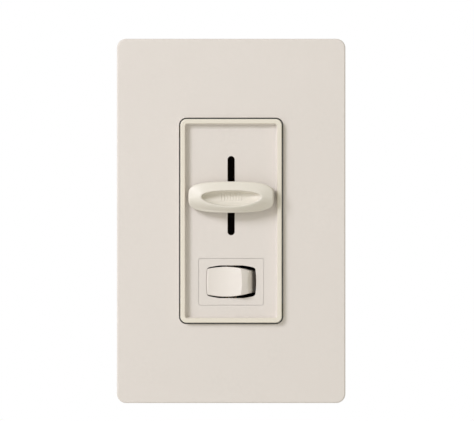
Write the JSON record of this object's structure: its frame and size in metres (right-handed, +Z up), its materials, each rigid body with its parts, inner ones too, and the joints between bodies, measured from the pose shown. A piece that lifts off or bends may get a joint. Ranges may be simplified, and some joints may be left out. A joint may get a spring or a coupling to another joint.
{
  "type": "dimmer slide switch",
  "caption": "Wall dimmer with a vertical slide knob and a small on/off rocker in a raised insert, behind a screwless cover plate.",
  "frame": {"origin": "midway between the two wall-box mounting screws, in the wall surface", "axes": "+Z up along the slider's travel, +X to the right seen from the room, -Y out of the wall towards the room, +Y into the wall box"},
  "size_m": [0.0746, 0.0442, 0.119],
  "materials": {
    "almond_cover": "satin",
    "almond_bezel": "satin",
    "almond_knob": "gloss",
    "almond_rocker": "satin",
    "almond_insert": "satin",
    "adapter_plastic": "satin",
    "zinc_steel": "satin",
    "strap_aluminium": "brushed",
    "fibre": "matte",
    "green_screw": "satin",
    "black_plastic": "satin",
    "resistive_board": "satin",
    "white_plastic": "satin",
    "spring_bronze": "satin",
    "tinned_wire": "satin",
    "spring_steel": "satin",
    "brass_strip": "satin",
    "silver_pad": "satin",
    "triac_case": "satin",
    "thermal_pad": "matte",
    "case_plastic": "satin",
    "brass_screw": "satin",
    "iron_powder": "satin",
    "enamelled_copper": "gloss",
    "capacitor_case": "gloss",
    "capacitor_film": "gloss",
    "resistor_body": "gloss",
    "diac_glass": "gloss",
    "trim_blue": "satin",
    "board_laminate": "satin"
  },
  "bodies": {
    "device": {"adapter_screws": "zinc_steel", "back_housing": "case_plastic", "board_spacers": "white_plastic", "centre_terminal": "brass_strip", "choke_core": "iron_powder", "choke_winding": "enamelled_copper", "circuit_board": "board_laminate", "diac": "diac_glass", "fixed_contact": "brass_strip", "fixed_contact_pad": "silver_pad", "front_bezel": "almond_bezel", "ground_screw": "green_screw", "housing_screws": "zinc_steel", "main_capacitor": "capacitor_case", "mounting_screws": "zinc_steel", "mounting_strap": "strap_aluminium", "pot_body": "black_plastic", "pot_cover": "black_plastic", "pot_element": "resistive_board", "pot_terminals": "tinned_wire", "resistors": "resistor_body", "retaining_washers": "fibre", "switch_base": "black_plastic", "switch_frame": "almond_insert", "terminal_plates": "brass_strip", "terminal_screws": "brass_screw", "timing_capacitor": "capacitor_film", "triac": "triac_case", "triac_insulator": "thermal_pad", "triac_screw": "zinc_steel", "trim_pot": "trim_blue", "wallplate_adapter": "adapter_plastic", "wallplate_cover": "almond_cover"},
    "slider": {"slider_knob": "almond_knob", "slider_lever": "black_plastic", "pot_carriage": "white_plastic", "pot_wiper": "spring_bronze"},
    "rocker_body": {"rocker": "almond_rocker", "rocker_plunger": "white_plastic", "plunger_spring": "spring_steel"},
    "seesaw": {"seesaw_contact": "brass_strip", "moving_contact_pad": "silver_pad"}
  },
  "joints": [
    {"name": "slider_travel", "type": "slide", "parent": "device", "child": "slider", "axis": [0, 0, 1], "range_m": [-0.0095, 0.0105]},
    {"name": "rocker_hinge", "type": "hinge", "parent": "device", "child": "rocker_body", "pos_m": [0, 0.0012, -0.0199], "axis": [0, 0, 1], "range_deg": [0, 24]},
    {"name": "seesaw_hinge", "type": "hinge", "parent": "device", "child": "seesaw", "pos_m": [0, 0.0094, -0.0199], "axis": [0, 0, 1], "range_deg": [-14, 0]}
  ],
  "couplings": [
    {"joint": "seesaw_hinge", "follows": "rocker_hinge", "ratio": -0.58333}
  ]
}
